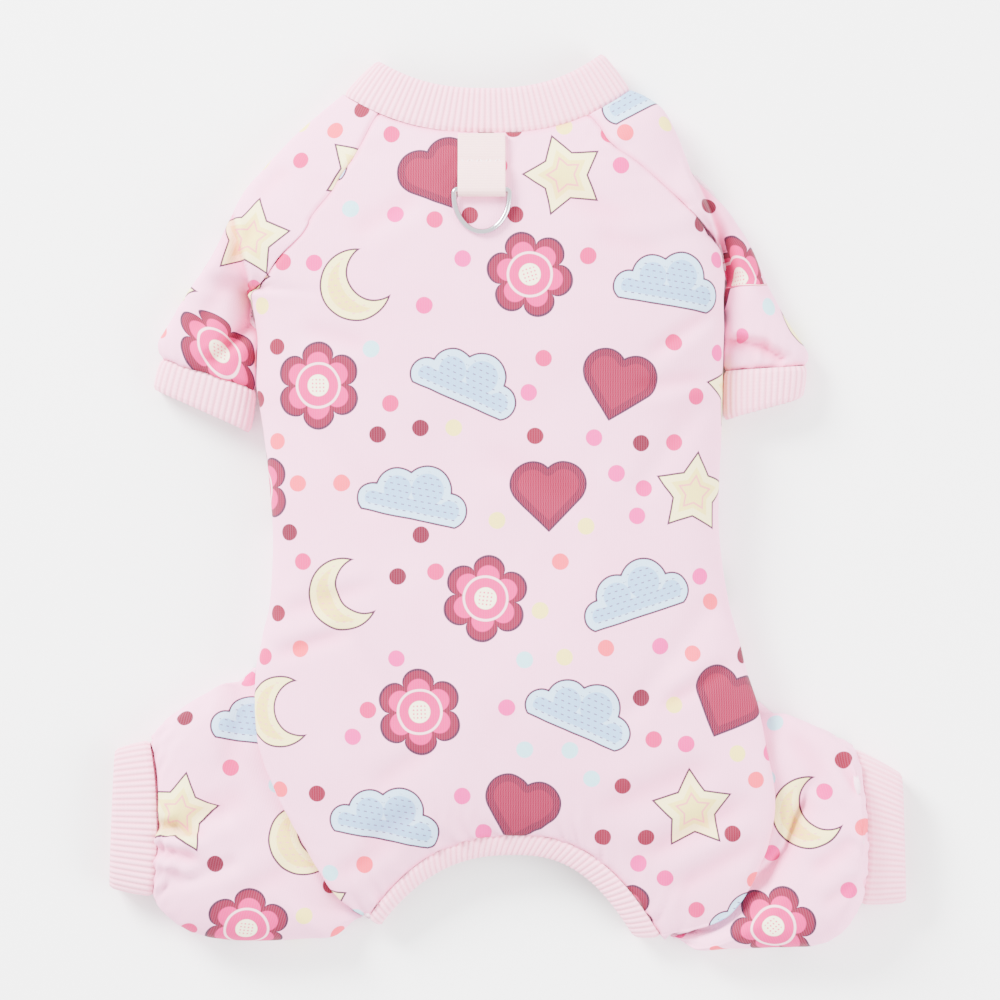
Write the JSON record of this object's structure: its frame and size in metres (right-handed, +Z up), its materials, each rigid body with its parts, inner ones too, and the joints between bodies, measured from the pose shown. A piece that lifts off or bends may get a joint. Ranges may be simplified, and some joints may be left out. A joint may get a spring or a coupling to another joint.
{
  "type": "dog jumpsuit",
  "caption": "Printed knit jumpsuit for a small dog, laid flat with its back up, with ribbed collar, cuffs and rump binding, and a leash strap with a D-ring at the neck.",
  "frame": {"origin": "on the surface it lies on, under the middle of its bounding box", "axes": "+Z up through the back, +Y along the back to the neck, +X to the right as seen from above"},
  "size_m": [0.3384, 0.3782, 0.0377],
  "materials": {
    "jersey": "matt cotton jersey, pale pink, printed",
    "rib_knit": "matt ribbed knit, pale pink",
    "webbing": "flat woven webbing, cream pink",
    "plated_wire": "polished nickel plate"
  },
  "bodies": {
    "suit": {"back_panel": "jersey", "belly_panel": "jersey", "neck_collar": "rib_knit", "rump_binding": "rib_knit", "left_sleeve": "jersey", "right_sleeve": "jersey", "left_leg": "jersey", "right_leg": "jersey", "left_sleeve_cuff": "rib_knit", "right_sleeve_cuff": "rib_knit", "left_leg_cuff": "rib_knit", "right_leg_cuff": "rib_knit", "leash_strap": "webbing"},
    "ring": {"d_ring": "plated_wire"}
  },
  "joints": [
    {"name": "d_ring_hinge", "type": "hinge", "parent": "suit", "child": "ring", "pos_m": [-0.01106, 0.13228, 0.03459], "axis": [-1, 0, 0], "range_deg": [0, 150]}
  ]
}
